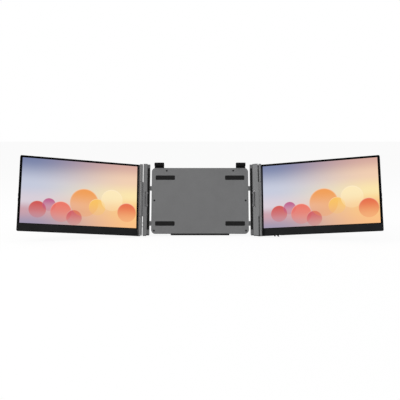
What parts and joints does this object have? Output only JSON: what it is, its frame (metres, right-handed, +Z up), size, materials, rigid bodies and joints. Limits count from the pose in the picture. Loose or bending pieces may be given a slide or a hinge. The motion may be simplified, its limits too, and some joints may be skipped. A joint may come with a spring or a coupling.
{
  "type": "laptop screen extender",
  "caption": "Folding extender that clamps on a laptop's lid and hangs a monitor on a hinged arm at each side, with a kickstand behind.",
  "frame": {"origin": "centre of the bottom face of the rubber strip under the centre housing, on the table", "axes": "+X to the viewer's right, along the row of screens; +Y to the back; +Z up from the table"},
  "size_m": [1.056, 0.2009, 0.2508],
  "materials": {
    "housing_plastic": "fine grain moulded grey-black plastic",
    "grey_metal": "bead-blasted grey anodised",
    "dark_shell": "matte dark coating",
    "black_frame": "black satin",
    "chin_black": "dark grey satin",
    "panel_glass": "lit panel behind clear glass",
    "backlight_unit": "plain steel tray",
    "board_green": "solder mask",
    "steel": "bright steel",
    "screw_black": "black oxide",
    "rubber_black": "soft black rubber",
    "hook_grey": "grey paint",
    "clip_black": "black nylon",
    "button_black": "black satin"
  },
  "bodies": {
    "centre_frame": {"front_plate": "grey_metal", "rear_housing": "housing_plastic", "lid_pads": "rubber_black", "housing_screws": "screw_black", "rail_stop_pins": "steel", "clip_leaf_springs": "steel", "table_strip": "rubber_black", "kickstand_pin": "steel"},
    "kickstand": {"kickstand_leg": "grey_metal", "kickstand_rubber": "rubber_black"},
    "left_arm": {"left_column": "grey_metal", "left_column_foot": "rubber_black", "left_rails": "grey_metal", "left_rail_screws": "screw_black", "left_lid_edge_pad": "rubber_black", "left_hinge_pin": "steel", "left_hinge_washers": "steel", "left_side_hook_pin": "steel"},
    "left_side_hook": {"left_side_hook": "hook_grey", "left_side_hook_pads": "rubber_black"},
    "left_top_clip": {"left_top_clip": "clip_black", "left_top_clip_pad": "rubber_black"},
    "left_screen": {"left_rear_shell": "dark_shell", "left_front_frame": "black_frame", "left_chin_inlay": "chin_black", "left_screen_glass": "panel_glass", "left_backlight": "backlight_unit", "left_driver_board": "board_green", "left_ports": "steel", "left_hinge_strip": "grey_metal", "left_monitor_screws": "screw_black"},
    "left_power_button": {"left_power_button": "button_black"},
    "left_menu_button": {"left_menu_button": "button_black"},
    "right_arm": {"right_column": "grey_metal", "right_column_foot": "rubber_black", "right_rails": "grey_metal", "right_rail_screws": "screw_black", "right_lid_edge_pad": "rubber_black", "right_hinge_pin": "steel", "right_hinge_washers": "steel", "right_side_hook_pin": "steel"},
    "right_side_hook": {"right_side_hook": "hook_grey", "right_side_hook_pads": "rubber_black"},
    "right_top_clip": {"right_top_clip": "clip_black", "right_top_clip_pad": "rubber_black"},
    "right_screen": {"right_rear_shell": "dark_shell", "right_front_frame": "black_frame", "right_chin_inlay": "chin_black", "right_screen_glass": "panel_glass", "right_backlight": "backlight_unit", "right_driver_board": "board_green", "right_ports": "steel", "right_hinge_strip": "grey_metal", "right_monitor_screws": "screw_black", "right_support_foot_pin": "steel"},
    "right_power_button": {"right_power_button": "button_black"},
    "right_menu_button": {"right_menu_button": "button_black"},
    "right_support_foot": {"right_support_foot": "clip_black"}
  },
  "joints": [
    {"name": "left_arm_slide", "type": "slide", "parent": "centre_frame", "child": "left_arm", "axis": [-1, 0, 0], "range_m": [0, 0.036]},
    {"name": "left_screen_hinge", "type": "hinge", "parent": "left_arm", "child": "left_screen", "pos_m": [-0.1822, 0.01597, 0.10599], "axis": [0, 0.2815, 0.9596], "range_deg": [-30, 160.13]},
    {"name": "left_hook_fold", "type": "hinge", "parent": "left_arm", "child": "left_side_hook", "pos_m": [-0.1665, 0.01729, 0.1092], "axis": [0, 0.2815, 0.9596], "range_deg": [0, 90]},
    {"name": "left_clip_slide", "type": "slide", "parent": "centre_frame", "child": "left_top_clip", "axis": [0, 0.2815, 0.9596], "range_m": [-0.0095, 0.016]},
    {"name": "left_power_press", "type": "slide", "parent": "left_screen", "child": "left_power_button", "axis": [0.9405, 0.3261, -0.0957], "range_m": [0, 0.0005], "stiffness_N_per_m": 1200, "springref_m": -0.0003},
    {"name": "left_menu_press", "type": "slide", "parent": "left_screen", "child": "left_menu_button", "axis": [0.9405, 0.3261, -0.0957], "range_m": [0, 0.0005], "stiffness_N_per_m": 1200, "springref_m": -0.0003},
    {"name": "right_arm_slide", "type": "slide", "parent": "centre_frame", "child": "right_arm", "axis": [1, 0, 0], "range_m": [0, 0.036]},
    {"name": "right_screen_hinge", "type": "hinge", "parent": "right_arm", "child": "right_screen", "pos_m": [0.1853, 0.0106, 0.10757], "axis": [0, -0.2815, -0.9596], "range_deg": [-19.5, 160.13]},
    {"name": "right_hook_fold", "type": "hinge", "parent": "right_arm", "child": "right_side_hook", "pos_m": [0.1665, 0.01729, 0.1092], "axis": [0, -0.2815, -0.9596], "range_deg": [0, 90]},
    {"name": "right_clip_slide", "type": "slide", "parent": "centre_frame", "child": "right_top_clip", "axis": [0, 0.2815, 0.9596], "range_m": [-0.0095, 0.016]},
    {"name": "right_power_press", "type": "slide", "parent": "right_screen", "child": "right_power_button", "axis": [-0.9405, 0.3261, -0.0957], "range_m": [0, 0.0005], "stiffness_N_per_m": 1200, "springref_m": -0.0003},
    {"name": "right_menu_press", "type": "slide", "parent": "right_screen", "child": "right_menu_button", "axis": [-0.9405, 0.3261, -0.0957], "range_m": [0, 0.0005], "stiffness_N_per_m": 1200, "springref_m": -0.0003},
    {"name": "kickstand_hinge", "type": "hinge", "parent": "centre_frame", "child": "kickstand", "pos_m": [0, 0.03906, 0.11485], "axis": [1, 0, 0], "range_deg": [-32.39, 45]},
    {"name": "support_foot_fold", "type": "hinge", "parent": "right_screen", "child": "right_support_foot", "pos_m": [0.22619, -0.01799, 0.00653], "axis": [0.9405, -0.3261, 0.0957], "range_deg": [0, 180]}
  ]
}
